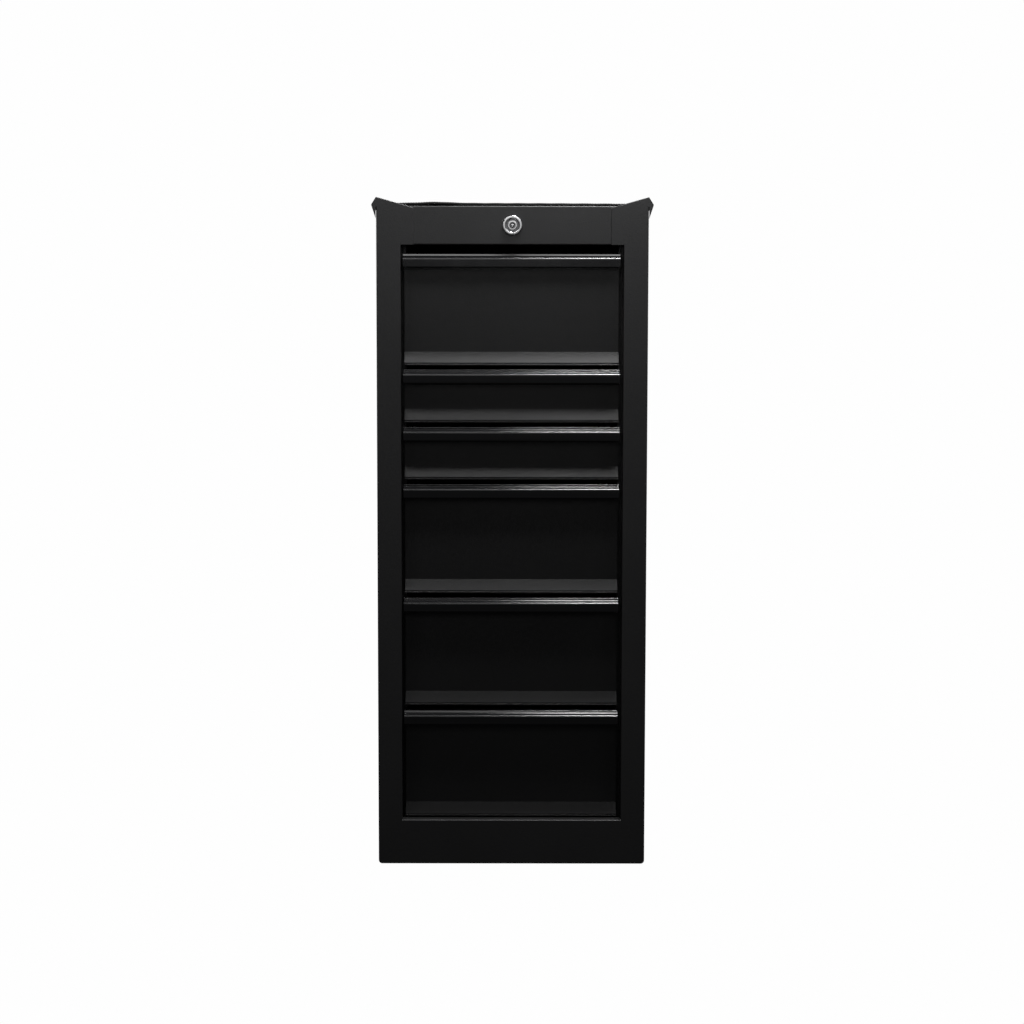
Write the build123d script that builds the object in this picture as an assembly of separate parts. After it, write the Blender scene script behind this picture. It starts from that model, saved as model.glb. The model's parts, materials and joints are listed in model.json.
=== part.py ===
"""Six-drawer steel side cabinet, a tall narrow chest of drawers.

Millimetres. +X is to the right, -Y is the front, +Z is up. The origin is on the floor, under the
middle of the overall box. Depths are stated as distances behind the front face of the case.
"""
from build123d import *
import math
import os

# ---- case -----------------------------------------------------------------------------------
BODY_W = 370.0            # width over the side panels
BODY_D = 458.0            # depth from the case's front face to its back
DECK_Z = 910.0            # height of the flat top
HANDLE_PROUD = 2.0        # how far the handles stand in front of the case
SHEET = 1.2               # case sheet steel
FRONT_Y = -(BODY_D - HANDLE_PROUD) / 2.0   # the case's front face

OPENING_W = 304.0         # clear width between the stiles
OPENING_TOP = 857.8
SILL_Z = 62.0             # top of the bottom rail
STILE_RETURN = 14.0
DECK_SKIRT = 18.0         # depth of the folds that stiffen the deck and the base
REAR_FLANGE = 16.0
FLOOR_FLANGE = 18.0
BEND_R = 1.6              # outside radius of a visible fold
EDGE_R = 1.0              # softened sloping edge of the ear
CORNER_R = 5.0            # rounded lower corners of the front

EAR_PEAK_Z = 922.1        # outer top corner of each ear
EAR_FOOT_Z = 907.7        # lower end of the ear's sloping edge
EAR_FOOT_X = 134.0
EAR_FOOT_R = 3.0
EAR_LEDGE = 9.0           # fold behind the sloping edge
RIM_OUT = 6.6             # how far the side rims lean out past the sides
RIM_OUT_Z = 911.6         # height where they turn back in
RIM_R = 2.4               # outside radius of that turn
WING_TIP_Z = 893.0        # the ear's outer wing tapers back to the side down to here
WING_SLIT = 0.5           # gap between the wing's lower part and the side
WING_ROOT_Z = 909.0       # top of that gap
RIM_LIP_Z = 905.0         # free edge of the rim, hidden behind the wing

RAIL_RETURN = 16.0        # top and bottom returns of the rails
RAIL_HALF = 150.5         # the top rail ends behind the ears
MAT_T = 4.5
MAT_MARGIN = 13.0

# ---- drawers --------------------------------------------------------------------------------
UNIT = 78.8               # height of the smallest drawer's space
DRAWER_UNITS = (2, 1, 1, 2, 2, 2)          # from the top down
TOP_NOSE_Z = 840.0        # nose line of the uppermost handle
FACE_D = 29.0             # drawer face, behind the case's front face
BAND_OUT = 9.0            # how far the lower band leans out from the face
BAND_TOP = 29.0           # heights above the nose line of the handle below
BAND_FOOT = 14.2
LIP_Z = 10.8
LIP_IN = 1.6              # how far the band's foot turns back in before the lip
HEM_R = 1.0               # rolled edge along the lip
HEM_OUT = 0.5             # how far the rolled edge stands in front of the band's foot
FRONT_W = 294.0
FRONT_SHEET = 1.0
FRONT_BEND = 1.5
FRONT_RETURN = 13.0
FRONT_SHIFT = -1.0        # the fronts are fixed to the boxes a little left of centre
HANDLE_W = 295.5
HANDLE_T = 2.0
HANDLE_BEND = 3.0
HANDLE_DROP = 11.8        # handle's free edge below its nose line
STEP_D, STEP_Z = 7.0, 2.6          # foot of the handle's ridge; heights are above the nose line
RIDGE_D, RIDGE_Z = 8.0, 5.6        # top of the ridge
RIDGE_BEND, STEP_BEND = 1.0, 0.6
ROOT_Z = 1.6                       # where the handle meets the face, and the front's top
HANDLE_FLANGE = 16.0

BOX_W = 272.0
BOX_T = 1.0
BOX_FRONT_D = FACE_D + FRONT_RETURN        # the box's front wall closes the hollow front panel
BOX_BACK_D = 436.0
BOX_R = 4.0               # rounded upright corners of the drawer box
BOX_OVER_LIP = 4.0
BOX_UNDER_NOSE = 6.0
LINER_T = 2.0
LINER_GAP = 1.0

# ---- slides ---------------------------------------------------------------------------------
SLIDE_D0 = 46.0
SLIDE_L = 400.0
SLIDE_T = 1.2
SLIDE_OVER_FLOOR = 29.0   # slide centre line above the drawer box's floor
OUTER_HALF, MIDDLE_HALF, INNER_HALF = 22.5, 17.0, 11.0   # half heights of the nested channels
OUTER_X, MIDDLE_X, INNER_X = 146.6, 143.9, 136.0         # outer face of each channel's web
OUTER_REACH, MIDDLE_REACH, INNER_REACH = 9.0, 6.0, 5.6  # channel depths
POST_W = 30.0
POST_T = 1.5
POST_DEPTHS = (52.0, 400.0)                # front edge of each upright
POST_TOP_Z = 885.0
BOLT_R = 2.5
BOLT_L = 8.0
BOLT_HEAD_R = 4.0
BOLT_HEAD_T = 1.2

# ---- lock -----------------------------------------------------------------------------------
LOCK_Z = 884.0
BEZEL_R = 13.7
BEZEL_PROUD = 2.0
BEZEL_ROUND = 1.6         # softened edges of the bezel
LOCK_MOUTH_R = 9.0
LOCK_MOUTH_D = 3.0
LOCK_BARREL_R = 9.4
LOCK_BACK_D = 26.0
NUT_R = 15.0              # over the nut's corners
NUT_T = 4.0
PLUG_R = 6.5
PLUG_FACE_D = -0.5        # the plug's face stands just in front of the rail
PLUG_TAIL = 2.0           # how far the plug reaches past the barrel
PLUG_GROOVE_R = 4.4
PLUG_POST_R = 2.3
PLUG_ROUND = 0.8
PLUG_POST_ROUND = 1.4
PLUG_GROOVE_DEPTH = 7.0
RUNNING = 0.05            # radial clearance of a shaft in its hole
ROD_R = 3.0
ROD_END_D = 446.0
CRANK_T = 3.0
CRANK_ARM = 8.485         # pin distance from the rod's axis
CRANK_HUB_R = 5.0
CRANK_END_R = 3.6
CRANK_W = 6.0
CRANK_PIN_R = 2.0
BAR_D = 452.0             # front face of the lock bar
BAR_T = 2.0
BAR_HALF = 10.0
BAR_FOOT_Z = 70.0
BAR_HEAD = 8.0            # metal above and below the crank pin
BAR_HEAD_SIDE = 6.0       # how far the head reaches out to the right for the slot
SLOT_GAP = 0.5            # clearance round the crank pin
BAR_STROKE = CRANK_ARM * math.sqrt(2.0)
HOOK_REACH = 11.0
HOOK_HALF = 8.0
CATCH_HALF = 12.0
CATCH_REACH = 13.0
CATCH_T = 1.5
CATCH_LIP = BAR_STROKE + 1.0
CATCH_OVER_FLOOR = 12.0
HOOK_CLEAR = 2.0
GUIDE_ZS = (120.0, 480.0, 840.0)
GUIDE_H = 14.0
GUIDE_GAP = 0.4           # clearance round the bar
GUIDE_FOOT = 10.0
BRACKET_D = 410.0
BRACKET_T = 2.0
BRACKET_HALF = 12.0
BRACKET_UNDER_ROD = 10.0
BRACKET_FOOT = 14.0

TINY = 0.01
PAST = 1.0                # how far a cutting shape runs past what it cuts
HALF = BODY_W / 2.0
OPEN_HALF = OPENING_W / 2.0


def y_at(depth):
    """Y of a plane that lies this far behind the case's front face."""
    return FRONT_Y + depth


def block(x, d, z):
    """A box from three (low, high) pairs: x, depth behind the front face, and z."""
    size = (x[1] - x[0], d[1] - d[0], z[1] - z[0])
    centre = ((x[0] + x[1]) / 2.0, y_at((d[0] + d[1]) / 2.0), (z[0] + z[1]) / 2.0)
    return Pos(*centre) * Box(*size)


def rod(radius, depth0, depth1, x=0.0, z=LOCK_Z):
    """A round bar along Y between two depths."""
    middle = y_at((depth0 + depth1) / 2.0)
    return Pos(x, middle, z) * Rot(90, 0, 0) * Cylinder(radius, depth1 - depth0)


def mirrored(shape):
    """The same shape on the other side of the cabinet."""
    return mirror(shape, about=Plane.YZ)


def along_x(face, half):
    """Stretch a (depth, z) section sideways, from -half to +half."""
    return Pos(0, FRONT_Y, 0) * extrude(Plane.YZ * face, amount=half, both=True)


def along_y(face, depth0, depth1):
    """Stretch an (x, z) outline backwards between two depths."""
    solid = extrude(Plane.XZ * face, amount=depth0 - depth1)
    return Pos(0, y_at(depth0), 0) * solid


def folded(points, radius, thickness, side):
    """Section of a folded sheet: its outer path, rounded at the bends and thickened to one side."""
    path = FilletPolyline(*points, radius=radius)
    return make_face(offset(path, amount=thickness, side=side))


# ---- case -----------------------------------------------------------------------------------
def wing_outline():
    """Outer corners of the right ear's wing, from the top of its gap to the ear's peak."""
    return [
        (HALF + WING_SLIT, WING_ROOT_Z), (HALF + WING_SLIT, WING_TIP_Z), (HALF + RIM_OUT, RIM_OUT_Z),
        (HALF, EAR_PEAK_Z)]


def ear_plate():
    """The front face of the right side panel: stile, rounded foot, raised ear and its outer wing."""
    outline = Polyline(
        (OPEN_HALF, 0), (HALF, 0), (HALF, WING_ROOT_Z), *wing_outline(), (EAR_FOOT_X, EAR_FOOT_Z),
        (EAR_FOOT_X, OPENING_TOP), (OPEN_HALF, OPENING_TOP), (OPEN_HALF, 0))
    sheet = make_face(outline)
    for corner, radius in (
            ((HALF, 0), CORNER_R), ((HALF + RIM_OUT, RIM_OUT_Z), RIM_R), ((EAR_FOOT_X, EAR_FOOT_Z), EAR_FOOT_R)):
        sheet = fillet(sheet.vertices().sort_by_distance((*corner, 0))[0], radius)
    plate = along_y(sheet, 0, SHEET)
    slope = [
        edge for edge in plate.edges()
        if abs(edge.center().Y - FRONT_Y) < TINY and EAR_FOOT_X < edge.center().X < HALF
        and edge.center().Z > EAR_FOOT_Z
    ]
    return fillet(slope, EDGE_R)


def ear_ledge():
    """Stiffening fold behind the sloping edge of the ear."""
    slope = math.atan2(EAR_PEAK_Z - EAR_FOOT_Z, HALF - EAR_FOOT_X)
    inner, outer = OPEN_HALF, HALF - SHEET
    middle_x = (inner + outer) / 2.0
    middle_z = EAR_PEAK_Z - (HALF - middle_x) * math.tan(slope) - SHEET
    place = Pos(middle_x, y_at(SHEET + EAR_LEDGE / 2.0), middle_z) * Rot(0, -math.degrees(slope), 0)
    return place * Box((outer - inner) / math.cos(slope), EAR_LEDGE, SHEET)


def corner_waste(radius):
    """What a fold of this radius takes off a square corner: the corner is at (0, 0), the sheet at -x, +y."""
    square = Pos(-radius / 2.0, radius / 2.0) * Rectangle(radius, radius)
    return square - Pos(-radius, radius) * Circle(radius)


def foot_rounding():
    """Waste outside the fold between the side and the floor."""
    return Pos(HALF, 0, 0) * along_y(corner_waste(CORNER_R), -1, BODY_D)


def front_rounding():
    """Waste outside the fold between the front and the side."""
    return Pos(HALF, FRONT_Y, 0) * extrude(corner_waste(BEND_R), amount=WING_ROOT_Z)


def side_panel_right():
    """One folded sheet: front stile with its return, side wall, leaning rim, rear and floor flanges."""
    rear = BODY_D - SHEET
    wall_path = Polyline(
        (HALF - REAR_FLANGE, rear), (HALF, rear), (HALF, 0), (OPEN_HALF, 0), (OPEN_HALF, STILE_RETURN))
    wall_section = make_face(offset(wall_path, amount=SHEET, side=Side.RIGHT))
    wall = Pos(0, FRONT_Y, 0) * extrude(wall_section, amount=OPENING_TOP)
    base_seat = block((0, HALF - SHEET), (SHEET, BODY_D), (0, SHEET))
    upper_wall = block((HALF - SHEET, HALF), (SHEET, rear), (OPENING_TOP, EAR_PEAK_Z - SHEET))
    upper_rear = block((HALF - REAR_FLANGE, HALF), (rear - SHEET, rear), (OPENING_TOP, DECK_Z - DECK_SKIRT))
    lip_in = RIM_OUT * (RIM_OUT_Z - RIM_LIP_Z) / (RIM_OUT_Z - WING_TIP_Z)
    rim_path = [(HALF, EAR_PEAK_Z), (HALF + RIM_OUT, RIM_OUT_Z), (HALF + RIM_OUT - lip_in, RIM_LIP_Z)]
    rim = along_y(folded(rim_path, RIM_R, SHEET, Side.RIGHT), SHEET, rear)
    floor_flange = block((HALF - FLOOR_FLANGE, HALF - SHEET), (STILE_RETURN, rear), (SHEET, 2 * SHEET))
    panel = wall - base_seat + ear_plate() + ear_ledge() + upper_wall + upper_rear + rim + floor_flange
    return panel - front_rounding() - foot_rounding()


def back_panel():
    """Flat sheet over the rear flanges."""
    return block((-HALF + SHEET, HALF - SHEET), (BODY_D - SHEET, BODY_D), (SHEET, DECK_Z - SHEET))


def deck_panel():
    """Top sheet, folded down at its sides and back, let in behind the top rail."""
    edge = HALF - SHEET
    top = block((-edge, edge), (RAIL_RETURN, BODY_D), (DECK_Z - SHEET, DECK_Z))
    skirt = block((edge - SHEET, edge), (RAIL_RETURN, BODY_D - REAR_FLANGE), (DECK_Z - DECK_SKIRT, DECK_Z))
    return top + skirt + mirrored(skirt)


def base_panel():
    """Floor sheet that the cabinet stands on, folded up behind the bottom rail."""
    half = HALF - CORNER_R
    sheet = block((-half, half), (SHEET, BODY_D - SHEET), (0, SHEET))
    inner = OPEN_HALF - SHEET
    return sheet + block((-inner, inner), (SHEET, 2 * SHEET), (0, DECK_SKIRT))


def top_rail():
    """Channel across the top of the opening, with the lock's hole."""
    outline = [
        (RAIL_RETURN, OPENING_TOP), (SHEET, OPENING_TOP), (SHEET, DECK_Z), (RAIL_RETURN, DECK_Z)]
    section = folded(outline, BEND_R, SHEET, Side.RIGHT)
    return along_x(section, RAIL_HALF) - rod(LOCK_BARREL_R + RUNNING, -PAST, RAIL_RETURN)


def bottom_rail():
    """Sheet across the foot of the opening; its upper fold is the sill."""
    section = folded([(0, 0), (0, SILL_Z), (RAIL_RETURN, SILL_Z)], BEND_R, SHEET, Side.RIGHT)
    return along_x(section, OPEN_HALF)


def deck_mat():
    """Rubber mat loose on the deck."""
    half = HALF - MAT_MARGIN
    return block((-half, half), (MAT_MARGIN, BODY_D - MAT_MARGIN), (DECK_Z, DECK_Z + MAT_T))


# ---- drawer heights -------------------------------------------------------------------------
def nose_lines():
    """Nose line of each drawer's handle, and one more for the place below the last drawer."""
    lines = [TOP_NOSE_Z]
    for units in DRAWER_UNITS:
        lines.append(lines[-1] - units * UNIT)
    return lines


NOSES = nose_lines()
DRAWERS = range(len(DRAWER_UNITS))


def box_floor(k):
    """Underside of drawer box k."""
    return NOSES[k + 1] + LIP_Z + BOX_OVER_LIP


def slide_z(k):
    """Height of drawer k's slides."""
    return box_floor(k) + SLIDE_OVER_FLOOR


def catch_z(k):
    """Underside of the catch on the back of drawer k."""
    return box_floor(k) + CATCH_OVER_FLOOR


# ---- uprights and slides --------------------------------------------------------------------
def slide_post(depth):
    """Upright channel that carries the slides on the right side."""
    d = (depth, depth + POST_W)
    z = (2 * SHEET, POST_TOP_Z)
    outer = block((OUTER_X, HALF - SHEET), d, z)
    hollow = block((OUTER_X + POST_T, HALF), (d[0] + POST_T, d[1] - POST_T), (0, DECK_Z))
    return outer - hollow


def channel(web_x, reach, half, z, length):
    """Slide member on the right side: a web with two flanges that point towards the drawer."""
    d = (SLIDE_D0, SLIDE_D0 + length)
    body = block((web_x - reach, web_x), d, (z - half, z + half))
    hollow = block((web_x - reach - PAST, web_x - SLIDE_T), (d[0] - PAST, d[1] + PAST),
                   (z - half + SLIDE_T, z + half - SLIDE_T))
    return body - hollow


def outer_member(z):
    """Fixed slide member."""
    return channel(OUTER_X, OUTER_REACH, OUTER_HALF, z, SLIDE_L)


def middle_member(z):
    """Sliding member between the fixed one and the drawer's."""
    return channel(MIDDLE_X, MIDDLE_REACH, MIDDLE_HALF, z, SLIDE_L)


def inner_member(z):
    """Slide member on the drawer: its web lies on the box and its flanges point outwards."""
    d = (SLIDE_D0, BOX_BACK_D - 2 * BOX_R)
    body = block((INNER_X, INNER_X + INNER_REACH), d, (z - INNER_HALF, z + INNER_HALF))
    hollow = block((INNER_X + SLIDE_T, INNER_X + INNER_REACH + PAST), (d[0] - PAST, d[1] + PAST),
                   (z - INNER_HALF + SLIDE_T, z + INNER_HALF - SLIDE_T))
    return body - hollow


def post_bolt(depth, z):
    """Bolt from a fixed slide member into its upright, head inside the slide."""
    web = OUTER_X - SLIDE_T
    centre_y = y_at(depth + POST_W / 2.0)
    head = Pos(web - BOLT_HEAD_T / 2.0, centre_y, z) * Rot(0, 90, 0) * Cylinder(BOLT_HEAD_R, BOLT_HEAD_T)
    shank = Pos(web + BOLT_L / 2.0, centre_y, z) * Rot(0, 90, 0) * Cylinder(BOLT_R, BOLT_L)
    return head + shank


# ---- drawers --------------------------------------------------------------------------------
def drawer_front(k):
    """Folded front panel: flat face, lower band leaning out, bottom lip turned back with a rolled edge."""
    top = NOSES[k] + ROOT_Z
    below = NOSES[k + 1]
    back = FACE_D + FRONT_RETURN
    band_d = FACE_D - BAND_OUT
    path = [
        (back, top), (FACE_D, top), (FACE_D, below + BAND_TOP), (band_d, below + BAND_FOOT),
        (band_d + LIP_IN, below + LIP_Z), (back, below + LIP_Z)]
    front = along_x(folded(path, FRONT_BEND, FRONT_SHEET, Side.LEFT), FRONT_W / 2.0)
    hem = Pos(band_d + HEM_R - HEM_OUT, below + LIP_Z + HEM_R) * Circle(HEM_R)
    front += along_x(hem, FRONT_W / 2.0)
    cheek_z = (below + BAND_TOP, top - FRONT_SHEET)
    for sign in (-1, 1):
        x = sorted((sign * FRONT_W / 2.0, sign * (FRONT_W / 2.0 - FRONT_SHEET)))
        front += block(x, (FACE_D + FRONT_SHEET / 2, back), cheek_z)
    return Pos(FRONT_SHIFT, 0, 0) * front


def drawer_handle(k):
    """Full-width pull: flange on the face, top with a ridge, rounded nose and free front edge."""
    nose = NOSES[k]
    path = [
        (FACE_D, nose + ROOT_Z), (RIDGE_D, nose + RIDGE_Z), (STEP_D, nose + STEP_Z),
        (-HANDLE_PROUD, nose), (-HANDLE_PROUD, nose - HANDLE_DROP)]
    bends = (RIDGE_BEND, STEP_BEND, HANDLE_BEND)
    handle = along_x(folded(path, bends, HANDLE_T, Side.LEFT), HANDLE_W / 2.0)
    flange_z = (nose - HANDLE_FLANGE, nose + ROOT_Z - HANDLE_T / 2.0)
    flange = block((-HANDLE_W / 2.0, HANDLE_W / 2.0), (FACE_D - HANDLE_T, FACE_D), flange_z)
    return Pos(FRONT_SHIFT, 0, 0) * (handle + flange)


def rounded_slab(half_x, depths, z, radius):
    """A slab with rounded upright corners."""
    depth0, depth1 = depths
    outline = RectangleRounded(2 * half_x, depth1 - depth0, radius)
    return Pos(0, y_at((depth0 + depth1) / 2.0), z[0]) * extrude(outline, amount=z[1] - z[0])


def drawer_box(k):
    """Open steel tray behind the front, with the lock's catch on its back."""
    floor = box_floor(k)
    rim = NOSES[k] - BOX_UNDER_NOSE
    outer = rounded_slab(BOX_W / 2.0, (BOX_FRONT_D, BOX_BACK_D), (floor, rim), BOX_R)
    hollow = rounded_slab(BOX_W / 2.0 - BOX_T, (BOX_FRONT_D + BOX_T, BOX_BACK_D - BOX_T),
                          (floor + BOX_T, rim + PAST), BOX_R - BOX_T)
    z = catch_z(k)
    x = (-CATCH_HALF, CATCH_HALF)
    arm = block(x, (BOX_BACK_D - BOX_T, BOX_BACK_D + CATCH_REACH), (z, z + CATCH_T))
    lip = block(x, (BOX_BACK_D + CATCH_REACH - CATCH_T, BOX_BACK_D + CATCH_REACH), (z, z + CATCH_LIP))
    return outer - hollow + arm + lip


def drawer_liner(k):
    """Thin rubber sheet on the drawer's floor."""
    floor = box_floor(k) + BOX_T
    inset = BOX_T + LINER_GAP
    depths = (BOX_FRONT_D + inset, BOX_BACK_D - inset)
    return rounded_slab(BOX_W / 2.0 - inset, depths, (floor, floor + LINER_T), BOX_R - BOX_T)


# ---- lock -----------------------------------------------------------------------------------
def lock_housing():
    """Fixed barrel with its bezel, a shallow mouth and a through bore for the plug."""
    bezel = rod(BEZEL_R, -BEZEL_PROUD, SHEET) - rod(LOCK_MOUTH_R, -BEZEL_PROUD - PAST, SHEET + PAST)
    bezel = fillet(bezel.faces().sort_by(Axis.Y)[0].edges(), BEZEL_ROUND)
    barrel = rod(LOCK_BARREL_R, 0, LOCK_BACK_D) - rod(LOCK_MOUTH_R, -PAST, LOCK_MOUTH_D)
    return bezel + barrel - rod(PLUG_R + RUNNING, 0, LOCK_BACK_D + PAST)


def lock_nut():
    """Hexagonal nut that clamps the barrel to the rail."""
    hexagon = RegularPolygon(radius=NUT_R, side_count=6)
    nut = Pos(0, 0, LOCK_Z) * along_y(hexagon, 2 * SHEET, 2 * SHEET + NUT_T)
    return nut - rod(LOCK_BARREL_R, 0, LOCK_BACK_D)


def lock_plug():
    """Turning plug with the ring groove and centre post of a round key."""
    plug = rod(PLUG_R, PLUG_FACE_D, LOCK_BACK_D + PLUG_TAIL)
    plug = fillet(plug.edges().sort_by(Axis.Y)[0], PLUG_ROUND)
    groove = rod(PLUG_GROOVE_R, PLUG_FACE_D - PAST, PLUG_GROOVE_DEPTH)
    post = rod(PLUG_POST_R, PLUG_FACE_D, PLUG_GROOVE_DEPTH)
    post = fillet(post.edges().sort_by(Axis.Y)[0], PLUG_POST_ROUND)
    return plug - groove + post


def lock_rod():
    """Rod from the plug to the crank at the back, over the top drawer."""
    return rod(ROD_R, LOCK_BACK_D + PLUG_TAIL, ROD_END_D)


def lock_crank():
    """Arm on the rod's end; its pin works in the lock bar's slot."""
    reach = CRANK_ARM / math.sqrt(2.0)
    d = (ROD_END_D, ROD_END_D + CRANK_T)
    hub = rod(CRANK_HUB_R, *d)
    end = rod(CRANK_END_R, *d, x=reach, z=LOCK_Z + reach)
    arm = Pos(reach / 2.0, y_at(ROD_END_D + CRANK_T / 2.0), LOCK_Z + reach / 2.0)
    arm = arm * Rot(0, -45, 0) * Box(CRANK_ARM, CRANK_T, CRANK_W)
    pin = rod(CRANK_PIN_R, ROD_END_D, BAR_D + BAR_T + PAST, x=reach, z=LOCK_Z + reach)
    return hub + end + arm + pin


def lock_bar():
    """Upright bar behind the drawers with a hook for each catch and the crank's slot at its head."""
    reach = CRANK_ARM / math.sqrt(2.0)
    slot_z = LOCK_Z + reach
    d = (BAR_D, BAR_D + BAR_T)
    bar = block((-BAR_HALF, BAR_HALF), d, (BAR_FOOT_Z, slot_z + BAR_HEAD))
    bar += block((-BAR_HALF, BAR_HALF + BAR_HEAD_SIDE), d, (slot_z - BAR_HEAD, slot_z + BAR_HEAD))
    slot_half = CRANK_PIN_R + SLOT_GAP
    slot_x = (reach - slot_half - SLOT_GAP, CRANK_ARM + slot_half + SLOT_GAP)
    bar -= block(slot_x, (BAR_D - PAST, BAR_D + BAR_T + PAST), (slot_z - slot_half, slot_z + slot_half))
    for k in DRAWERS:
        tip_z = catch_z(k) + CATCH_LIP + HOOK_CLEAR
        arm_z = tip_z + BAR_STROKE
        x = (-HOOK_HALF, HOOK_HALF)
        bar += block(x, (BAR_D - HOOK_REACH, BAR_D), (arm_z, arm_z + BAR_T))
        bar += block(x, (BAR_D - HOOK_REACH, BAR_D - HOOK_REACH + BAR_T), (tip_z, arm_z))
    return bar


def bar_guide(z):
    """Strap on the back panel that the lock bar slides in."""
    height = (z, z + GUIDE_H)
    back = BODY_D - SHEET
    inner = BAR_HALF + GUIDE_GAP
    outer = inner + CATCH_T
    strap_d = BAR_D - GUIDE_GAP - CATCH_T
    guide = block((-outer, outer), (strap_d, strap_d + CATCH_T), height)
    for sign in (-1, 1):
        leg = sorted((sign * inner, sign * outer))
        foot = sorted((sign * inner, sign * (outer + GUIDE_FOOT)))
        guide += block(leg, (strap_d, back), height)
        guide += block(foot, (back - CATCH_T, back), height)
    return guide


def rod_bracket():
    """Hanger under the deck with the rod's rear bearing."""
    x = (-BRACKET_HALF, BRACKET_HALF)
    d = (BRACKET_D, BRACKET_D + BRACKET_T)
    top = DECK_Z - SHEET
    plate = block(x, d, (LOCK_Z - BRACKET_UNDER_ROD, top))
    foot = block(x, (BRACKET_D, BRACKET_D + BRACKET_FOOT), (top - BRACKET_T, top))
    return plate + foot - rod(ROD_R + RUNNING, d[0] - PAST, d[1] + PAST)


# ---- assembly -------------------------------------------------------------------------------
def case_parts():
    """Everything that stays still."""
    panel = side_panel_right()
    posts = [slide_post(depth) for depth in POST_DEPTHS]
    outers = [outer_member(slide_z(k)) for k in DRAWERS]
    bolts = []
    for k in DRAWERS:
        for depth in POST_DEPTHS:
            bolt = post_bolt(depth, slide_z(k))
            bolts += [bolt, mirrored(bolt)]
    return {
        "side_panel_right": panel,
        "side_panel_left": mirrored(panel),
        "back_panel": back_panel(),
        "deck_panel": deck_panel(),
        "base_panel": base_panel(),
        "top_rail": top_rail(),
        "bottom_rail": bottom_rail(),
        "deck_mat": deck_mat(),
        "slide_posts_right": [post - bolts for post in posts],
        "slide_posts_left": [mirrored(post) - bolts for post in posts],
        "slide_outer_members_right": [member - bolts for member in outers],
        "slide_outer_members_left": [mirrored(member) - bolts for member in outers],
        "slide_bolts": bolts,
        "lock_housing": lock_housing(),
        "lock_nut": lock_nut(),
        "lock_bar_guides": [bar_guide(z) for z in GUIDE_ZS],
        "lock_rod_bracket": rod_bracket(),
    }


def lock_parts():
    """The plug, rod and crank that turn, and the bar that slides."""
    return {
        "lock_plug": lock_plug(),
        "lock_rod": lock_rod(),
        "lock_crank": lock_crank(),
        "lock_bar": lock_bar(),
    }


def drawer_parts(k):
    """The pieces of one drawer and its slides."""
    name = f"drawer_{k + 1}"
    inner = inner_member(slide_z(k))
    middle = middle_member(slide_z(k))
    return {
        f"{name}_front": drawer_front(k),
        f"{name}_handle": drawer_handle(k),
        f"{name}_box": drawer_box(k),
        f"{name}_liner": drawer_liner(k),
        f"{name}_inner_members": [inner, mirrored(inner)],
        f"{name}_middle_members": [middle, mirrored(middle)],
    }


def build():
    """Write one STEP file for each sub-part."""
    os.makedirs("parts", exist_ok=True)
    parts = {**case_parts(), **lock_parts()}
    for k in DRAWERS:
        parts.update(drawer_parts(k))
    for name, shape in parts.items():
        solids = shape if isinstance(shape, list) else [shape]
        whole = Compound(children=solids) if len(solids) > 1 else solids[0]
        whole.label = name
        export_step(whole, f"parts/{name}.step")


build()
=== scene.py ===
"""A black steel six-drawer side cabinet: its materials, rubber mats, light and camera."""
import json
import math
import bmesh
import bpy
from mathutils import Matrix, Vector


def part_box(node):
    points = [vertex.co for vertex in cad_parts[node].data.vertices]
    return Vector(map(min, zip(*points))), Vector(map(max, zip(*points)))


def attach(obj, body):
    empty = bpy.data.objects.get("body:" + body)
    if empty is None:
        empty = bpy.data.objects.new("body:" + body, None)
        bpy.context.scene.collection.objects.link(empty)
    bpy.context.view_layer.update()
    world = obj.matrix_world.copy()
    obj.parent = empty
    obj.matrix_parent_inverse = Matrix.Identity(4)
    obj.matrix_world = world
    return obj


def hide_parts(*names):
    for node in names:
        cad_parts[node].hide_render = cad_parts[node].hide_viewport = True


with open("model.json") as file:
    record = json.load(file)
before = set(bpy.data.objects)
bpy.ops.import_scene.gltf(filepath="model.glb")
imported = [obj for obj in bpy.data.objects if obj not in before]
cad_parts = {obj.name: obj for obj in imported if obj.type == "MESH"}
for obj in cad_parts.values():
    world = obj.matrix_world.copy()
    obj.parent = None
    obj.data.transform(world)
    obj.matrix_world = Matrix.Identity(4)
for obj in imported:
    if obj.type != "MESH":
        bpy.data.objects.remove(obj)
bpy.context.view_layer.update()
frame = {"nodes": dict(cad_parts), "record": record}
nodes = frame["nodes"]
scene = bpy.context.scene

MM = 0.001
DRAWERS = range(1, 7)
FRONT_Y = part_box("side_panel_left")[0].y     # the case's front face
WHITE = (1.0, 1.0, 1.0, 1.0)


# ---- small helpers --------------------------------------------------------------------------
def new_object(name, mesh):
    """Link a mesh to the scene as an object."""
    piece = bpy.data.objects.new(name, mesh)
    scene.collection.objects.link(piece)
    return piece


def mesh_from(name, verts, faces):
    """A smooth-shaded mesh from vertex and face lists."""
    mesh = bpy.data.meshes.new(name)
    mesh.from_pydata(verts, [], faces)
    mesh.validate()
    for polygon in mesh.polygons:
        polygon.use_smooth = True
    return mesh


def put_material(piece, material):
    """Give every slot of a piece this material."""
    if not piece.data.materials:
        piece.data.materials.append(material)
    for index in range(len(piece.data.materials)):
        piece.data.materials[index] = material


# ---- materials ------------------------------------------------------------------------------
NOISE_LOW, NOISE_HIGH = 0.3, 0.7     # most of a noise's values lie between these


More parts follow.
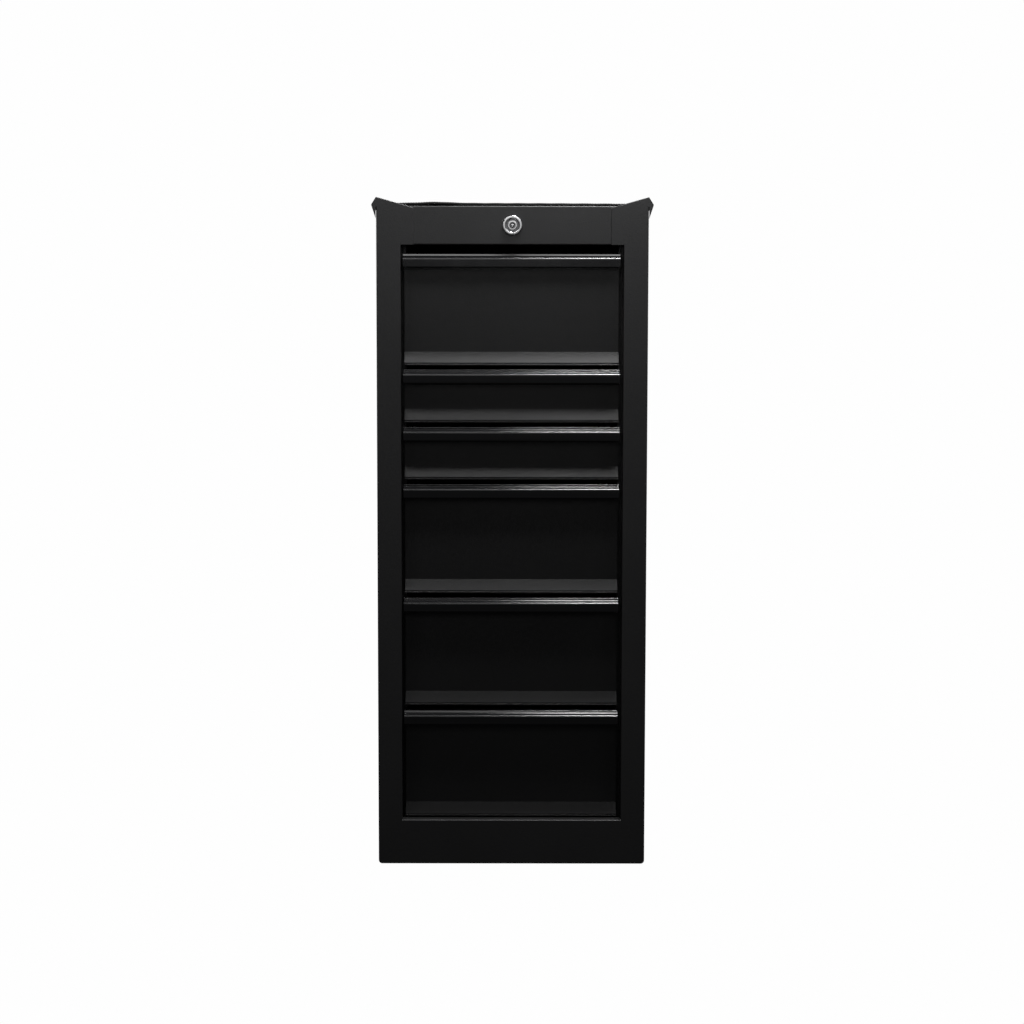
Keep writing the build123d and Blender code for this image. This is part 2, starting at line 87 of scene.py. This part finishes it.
class Shader:
    """A material under construction: a Principled shader and the nodes that feed it."""

    def __init__(self, name, colour, roughness, metallic=0.0):
        self.material = bpy.data.materials.new(name)
        self.material.use_nodes = True
        self.tree = self.material.node_tree
        self.bsdf = self.tree.nodes["Principled BSDF"]
        self.place = self.node("ShaderNodeTexCoord").outputs["Object"]
        self.colour = colour
        self.roughness = roughness
        self.relief = None
        self.bsdf.inputs["Base Color"].default_value = (*colour, 1.0)
        self.bsdf.inputs["Roughness"].default_value = roughness
        self.bsdf.inputs["Metallic"].default_value = metallic

    def node(self, kind, **settings):
        """Add a node and set its properties."""
        made = self.tree.nodes.new(kind)
        for key, value in settings.items():
            setattr(made, key, value)
        return made

    def link(self, source, target):
        """Join two sockets."""
        self.tree.links.new(source, target)

    def stretched(self, scale):
        """Object coordinates multiplied along each axis."""
        mapping = self.node("ShaderNodeMapping")
        mapping.inputs["Scale"].default_value = scale
        self.link(self.place, mapping.inputs["Vector"])
        return mapping.outputs["Vector"]

    def noise(self, scale, detail=2.0, stretch=(1, 1, 1)):
        """Noise between 0 and 1; scale is in features per metre."""
        noise = self.node("ShaderNodeTexNoise")
        noise.inputs["Scale"].default_value = scale
        noise.inputs["Detail"].default_value = detail
        self.link(self.stretched(stretch), noise.inputs["Vector"])
        return noise.outputs["Fac"]

    def remap(self, value, low, high, to_low, to_high):
        """Map a value from one range to another."""
        node = self.node("ShaderNodeMapRange")
        node.inputs["From Min"].default_value = low
        node.inputs["From Max"].default_value = high
        node.inputs["To Min"].default_value = to_low
        node.inputs["To Max"].default_value = to_high
        self.link(value, node.inputs["Value"])
        return node.outputs["Result"]

    def behind(self, y, fade):
        """0 in front of this Y and 1 behind it, with a soft change over the distance fade."""
        split = self.node("ShaderNodeSeparateXYZ")
        self.link(self.place, split.inputs["Vector"])
        return self.remap(split.outputs["Y"], y - fade / 2, y + fade / 2, 0.0, 1.0)

    def blend_colours(self, value, first, second):
        """Base colour from first to second as the value goes from 0 to 1."""
        mix = self.node("ShaderNodeMix", data_type="RGBA")
        mix.inputs["A"].default_value = (*first, 1.0)
        mix.inputs["B"].default_value = (*second, 1.0)
        self.link(value, mix.inputs["Factor"])
        self.link(mix.outputs["Result"], self.bsdf.inputs["Base Color"])

    def tint(self, value, amount):
        """Vary the base colour's brightness by +-amount with a noise."""
        darker = [c * (1 - amount) for c in self.colour]
        brighter = [c * (1 + amount) for c in self.colour]
        self.blend_colours(self.remap(value, NOISE_LOW, NOISE_HIGH, 0.0, 1.0), darker, brighter)

    def vary_roughness(self, value, amount):
        """Vary the roughness by +-amount with a noise."""
        low, high = self.roughness - amount, self.roughness + amount
        varied = self.remap(value, NOISE_LOW, NOISE_HIGH, low, high)
        self.link(varied, self.bsdf.inputs["Roughness"])

    def bump(self, value, depth):
        """Add relief of this depth in metres on top of any relief so far."""
        bump = self.node("ShaderNodeBump")
        bump.inputs["Strength"].default_value = 1.0
        bump.inputs["Distance"].default_value = depth
        self.link(value, bump.inputs["Height"])
        if self.relief is not None:
            self.link(self.relief, bump.inputs["Normal"])
        self.relief = bump.outputs["Normal"]
        self.link(self.relief, self.bsdf.inputs["Normal"])

    def specular(self, level):
        """One specular level for the whole material."""
        self.bsdf.inputs["Specular IOR Level"].default_value = level


def powder_coat(name, colour, roughness, grain):
    """Sprayed powder paint: fine grain over an orange peel; grain scales both depths."""
    peel_scale, peel_depth = 560, 0.13 * MM
    fine_scale, fine_depth = 1700, 0.04 * MM
    cloud_scale, cloud_tint = 9, 0.06
    gloss_scale, gloss_change = 420, 0.05
    shader = Shader(name, colour, roughness)
    shader.tint(shader.noise(cloud_scale, detail=3), cloud_tint)
    shader.vary_roughness(shader.noise(gloss_scale, detail=4), gloss_change)
    shader.bump(shader.noise(peel_scale), peel_depth * grain)
    shader.bump(shader.noise(fine_scale, detail=3), fine_depth * grain)
    return shader.material


def gloss_paint(name, colour, roughness):
    """Smooth gloss paint with a very faint orange peel and fine dust."""
    gloss_scale, gloss_change = 60, 0.012
    peel_scale, peel_depth = 120, 0.005 * MM
    dust_scale, dust_tint = 900, 0.15
    shader = Shader(name, colour, roughness)
    shader.specular(0.8)
    shader.vary_roughness(shader.noise(gloss_scale, detail=3), gloss_change)
    shader.bump(shader.noise(peel_scale, detail=1), peel_depth)
    shader.tint(shader.noise(dust_scale), dust_tint)
    return shader.material


def rubber(name, colour, roughness=0.78):
    """Matt rubber with a fine moulded grain."""
    patch_scale, patch_tint = 300, 0.18
    grain_scale, grain_depth = 2200, 0.06 * MM
    shader = Shader(name, colour, roughness)
    shader.specular(0.35)
    shader.tint(shader.noise(patch_scale, detail=4), patch_tint)
    shader.bump(shader.noise(grain_scale), grain_depth)
    return shader.material


def plated_steel(name, colour, along, roughness=0.32):
    """Plated steel with faint rolling lines along one axis."""
    line_scale, line_gloss, line_depth = 30, 0.04, 0.004 * MM
    patch_scale, patch_tint = 40, 0.05
    squeeze = {axis: 0.05 if axis == along else 40.0 for axis in "xyz"}
    shader = Shader(name, colour, roughness, metallic=1.0)
    lines = shader.noise(line_scale, detail=3, stretch=tuple(squeeze.values()))
    shader.tint(shader.noise(patch_scale, detail=4), patch_tint)
    shader.vary_roughness(lines, line_gloss)
    shader.bump(lines, line_depth)
    return shader.material


def lock_chrome(name):
    """Polished chrome on the lock's face; in its grooves the metal turns duller and its colour
    darker, a painted shade.
    """
    polished, dull = 0.07, 0.36
    chrome, groove_painted_shade = (0.86, 0.86, 0.87), (0.30, 0.30, 0.31)
    groove_depth, fade = 0.6 * MM, 0.8 * MM     # depth behind the case's front face
    wave_scale, wave_depth = 260, 0.0012 * MM
    shader = Shader(name, chrome, polished, metallic=1.0)
    # Behind this depth the colour darkens to a painted shade for the shadowed groove floors; the
    # rise in roughness there is duller metal.
    depth = shader.behind(FRONT_Y + groove_depth, fade)
    shader.blend_colours(depth, chrome, groove_painted_shade)
    shader.link(shader.remap(depth, 0.0, 1.0, polished, dull), shader.bsdf.inputs["Roughness"])
    shader.bump(shader.noise(wave_scale), wave_depth)
    return shader.material


SLOT_MATERIALS = {
    "case_paint": powder_coat("case_powder_coat", (0.032, 0.032, 0.033), 0.38, grain=1.0),
    "drawer_paint": powder_coat("drawer_powder_coat", (0.030, 0.030, 0.031), 0.36, grain=0.8),
    "handle_gloss": gloss_paint("handle_gloss_paint", (0.012, 0.012, 0.013), 0.135),
    "mat_rubber": rubber("mat_rubber", (0.012, 0.012, 0.012)),
    "liner_rubber": rubber("liner_rubber", (0.03, 0.03, 0.032)),
    "slide_zinc": plated_steel("slide_zinc", (0.62, 0.63, 0.65), "y"),
    "bolt_zinc": plated_steel("bolt_zinc", (0.66, 0.66, 0.68), "x"),
    "lock_steel": plated_steel("lock_steel", (0.05, 0.05, 0.055), "z", roughness=0.5),
    "lock_chrome": lock_chrome("lock_chrome"),
}


def paint_cad_nodes():
    """Every CAD node takes the finish of its material slot."""
    for entry in frame["record"]["subparts"]:
        put_material(nodes[entry["node"]], SLOT_MATERIALS[entry["material_slot"]])


# ---- rubber mats ----------------------------------------------------------------------------
STEPS_PER_RIB = 8
SHEET_ROWS = 24           # from front to back
RIB_ROUNDNESS = 0.7       # under 1 gives a broad crown and a narrow groove


def sheet_faces(columns, rows):
    """Faces of a closed sheet whose points are the top's rows, then the bottom's rows."""
    row = columns + 1
    below = row * (rows + 1)
    faces = []
    for j in range(rows):
        for i in range(columns):
            a = j * row + i
            faces.append((a, a + 1, a + 1 + row, a + row))
            faces.append((a + below, a + row + below, a + 1 + row + below, a + 1 + below))
    for i in range(columns):
        front, back = i, rows * row + i
        faces.append((front, front + below, front + 1 + below, front + 1))
        faces.append((back, back + 1, back + 1 + below, back + below))
    for j in range(rows):
        left, right = j * row, j * row + columns
        faces.append((left, left + row, left + row + below, left + below))
        faces.append((right, right + below, right + row + below, right + row))
    return faces


def ribbed_sheet(name, low, high, pitch, depth, lift):
    """A rubber sheet with rounded ribs from front to back; lift(x, y) raises it off its bed."""
    columns = max(2, round((high.x - low.x) / pitch)) * STEPS_PER_RIB
    thickness = high.z - low.z
    top, bottom = [], []
    for j in range(SHEET_ROWS + 1):
        y = low.y + (high.y - low.y) * j / SHEET_ROWS
        for i in range(columns + 1):
            x = low.x + (high.x - low.x) * i / columns
            rib = abs(math.sin(math.pi * i / STEPS_PER_RIB)) ** RIB_ROUNDNESS
            z = low.z + lift(x, y)
            bottom.append((x, y, z))
            top.append((x, y, z + thickness - depth * (1 - rib)))
    return new_object(name, mesh_from(name, top + bottom, sheet_faces(columns, SHEET_ROWS)))


MAT_PITCH, MAT_GROOVE = 3.6 * MM, 0.4 * MM
MAT_SPARE = 1.1 * MM      # the flat mat ends this far below its box's top, so that it can lift
HUMP_X, HUMP_WIDTH, HUMP_HEIGHT = -104 * MM, 26 * MM, 1.2 * MM
RISE_X, RISE_WIDTH, RISE_HEIGHT = -75 * MM, 22 * MM, 0.9 * MM
SWELL_HEIGHT = 0.8 * MM
RIPPLE_RATE, RIPPLE_HEIGHT = 210, 0.1 * MM     # radians per metre


def deck_mat():
    """The loose mat on the top: its front edge lies a little wavy."""
    low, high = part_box("deck_mat")
    middle = (low.y + high.y) / 2

    def lift(x, y):
        """A hump and a rise at the left, a wide swell and a ripple, all only near the front."""
        front = max(0.0, (middle - y) / (middle - low.y)) ** 2
        hump = HUMP_HEIGHT * math.exp(-((x - HUMP_X) / HUMP_WIDTH) ** 2)
        left_rise = RISE_HEIGHT / (1 + math.exp((x - RISE_X) / RISE_WIDTH))
        swell = SWELL_HEIGHT * math.cos(math.pi * x / (high.x - low.x))
        ripple = RIPPLE_HEIGHT * math.sin(x * RIPPLE_RATE)
        return front * (hump + left_rise + swell + ripple)

    flat_high = Vector((high.x, high.y, high.z - MAT_SPARE))
    mat = ribbed_sheet("deck_mat_ribbed", low, flat_high, MAT_PITCH, MAT_GROOVE, lift)
    put_material(mat, SLOT_MATERIALS["mat_rubber"])
    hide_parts("deck_mat")
    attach(mat, "case")


LINER_PITCH, LINER_GROOVE = 4.5 * MM, 0.8 * MM


def drawer_liner(k):
    """The ribbed rubber liner of one drawer."""
    node = f"drawer_{k}_liner"
    low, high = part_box(node)
    liner = ribbed_sheet(f"{node}_ribbed", low, high, LINER_PITCH, LINER_GROOVE, lambda x, y: 0.0)
    put_material(liner, SLOT_MATERIALS["liner_rubber"])
    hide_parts(node)
    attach(liner, f"drawer_{k}")


# ---- surroundings ---------------------------------------------------------------------------
STUDIO_RADIUS = 40.0
DOME_SEGMENTS, DOME_RINGS = 48, 24
STUDIO_GLOW = 0.991       # just under white
FLOOR_DROP = 0.5 * MM     # keeps the floor clear of the case's underside
WORLD_STRENGTH = 0.018


def glowing_white(name):
    """A material that is evenly pale, whatever the light."""
    material = bpy.data.materials.new(name)
    material.use_nodes = True
    tree = material.node_tree
    tree.nodes.clear()
    glow = tree.nodes.new("ShaderNodeEmission")
    glow.inputs["Color"].default_value = WHITE
    glow.inputs["Strength"].default_value = STUDIO_GLOW
    output = tree.nodes.new("ShaderNodeOutputMaterial")
    tree.links.new(glow.outputs["Emission"], output.inputs["Surface"])
    return material


def dome_mesh(name):
    """A sphere around everything."""
    mesh = bpy.data.meshes.new(name)
    shape = bmesh.new()
    bmesh.ops.create_uvsphere(
        shape, u_segments=DOME_SEGMENTS, v_segments=DOME_RINGS, radius=STUDIO_RADIUS)
    shape.to_mesh(mesh)
    shape.free()
    return mesh


def floor_mesh(name):
    """A square as wide as the dome."""
    r = STUDIO_RADIUS
    return mesh_from(name, [(-r, -r, 0), (r, -r, 0), (r, r, 0), (-r, r, 0)], [(0, 1, 2, 3)])


def only_camera(piece):
    """The piece is seen, but neither lights nor shades anything."""
    piece.visible_diffuse = False
    piece.visible_glossy = False
    piece.visible_transmission = False
    piece.visible_volume_scatter = False
    piece.visible_shadow = False


def white_stage():
    """Plain pale surroundings that only the camera sees: a wide floor and a dome."""
    material = glowing_white("pale_studio")
    dome = new_object("studio_dome", dome_mesh("studio_dome"))
    floor = new_object("studio_floor", floor_mesh("studio_floor"))
    floor.location.z = -FLOOR_DROP
    for stage in (dome, floor):
        put_material(stage, material)
        only_camera(stage)


def studio_world():
    """Dim even surroundings."""
    world = bpy.data.worlds.new("studio")
    world.use_nodes = True
    background = world.node_tree.nodes["Background"]
    background.inputs["Color"].default_value = WHITE
    background.inputs["Strength"].default_value = WORLD_STRENGTH
    scene.world = world


# ---- lights ---------------------------------------------------------------------------------
# name: place (x, distance in front of the case, height), aim in the same terms,
# size (width, depth), power in watts
FRONT_LIGHTS = {
    "key_left": ((-0.20, 0.35, 1.15), (-0.10, 0.0, 0.65), (0.38, 0.12), 0.44),
    "key_right": ((0.15, 0.30, 1.20), (0.075, 0.0, 0.72), (0.30, 0.10), 0.26),
    "key_low": ((0.16, 0.30, 1.06), (0.08, 0.0, 0.60), (0.30, 0.08), 0.26),
    "front_fill": ((0.045, 2.20, 1.20), (0.0225, 0.0, 0.65), (1.33, 0.53), 1.65),
    "front_card": ((0.0, 1.80, 1.00), (0.0, 0.0, 0.89), (0.35, 0.22), 0.15),
    "top_strip": ((0.26, 0.08, 2.00), (0.20, 0.04, 0.30), (0.50, 0.07), 8.4),
    "top_front": ((0.26, 0.30, 2.40), (0.20, 0.15, 0.30), (0.50, 0.20), 19.0),
}
# name: place (x, y, z), power in watts; large lights for the sides, the back and the corners
SIDE_LIGHTS = {
    "side_left": ((-1.7, 0.35, 1.3), 22.0),
    "side_right": ((1.7, 0.35, 1.3), 22.0),
    "back": ((0.0, 2.0, 1.4), 22.0),
    "corner_left": ((-2.0, -2.2, 0.9), 1.3),
    "corner_right": ((2.0, -2.2, 0.9), 1.3),
}
SIDE_SIZE = (1.1, 1.1)
SIDE_AIM = (0.0, 0.1, 0.5)


def softbox(name, centre, size, aim, power):
    """A rectangular area light at centre that faces the point aim."""
    data = bpy.data.lights.new(name, "AREA")
    data.shape = "RECTANGLE"
    data.size, data.size_y = size
    data.energy = power
    light = bpy.data.objects.new(name, data)
    light.location = centre
    light.rotation_euler = (Vector(aim) - Vector(centre)).to_track_quat("-Z", "Y").to_euler()
    scene.collection.objects.link(light)


def before_front(place):
    """A place given by its distance in front of the case, as x, y and z."""
    x, distance, height = place
    return (x, FRONT_Y - distance, height)


def studio_lights():
    """Soft lights around the case, most of them in front and overhead."""
    for name, (place, power) in SIDE_LIGHTS.items():
        softbox(name, place, SIDE_SIZE, SIDE_AIM, power)
    for name, (place, aim, size, power) in FRONT_LIGHTS.items():
        softbox(name, before_front(place), size, before_front(aim), power)


# ---- camera ---------------------------------------------------------------------------------
CAMERA_DISTANCE = 3.30    # from the front of the case
CAMERA_HEIGHT = 0.8495
CAMERA_PITCH = 6.165      # degrees down
CAMERA_ROLL = 0.089       # degrees
CAMERA_LENS = 85.0        # mm, on a sensor SENSOR_WIDTH mm wide
SENSOR_WIDTH = 36.0


def photo_camera():
    """Camera at the photograph's viewing angle."""
    data = bpy.data.cameras.new("camera")
    data.lens = CAMERA_LENS
    data.sensor_width = SENSOR_WIDTH
    camera = bpy.data.objects.new("camera", data)
    place = Matrix.Translation((0, FRONT_Y - CAMERA_DISTANCE, CAMERA_HEIGHT))
    pitch = Matrix.Rotation(math.radians(90 - CAMERA_PITCH), 4, "X")
    roll = Matrix.Rotation(math.radians(CAMERA_ROLL), 4, "Z")
    camera.matrix_world = place @ pitch @ roll
    scene.collection.objects.link(camera)
    scene.camera = camera


# ---- the whole scene ------------------------------------------------------------------------
paint_cad_nodes()
deck_mat()
for number in DRAWERS:
    drawer_liner(number)
white_stage()
studio_world()
studio_lights()
photo_camera()
scene.view_settings.view_transform = "Standard"
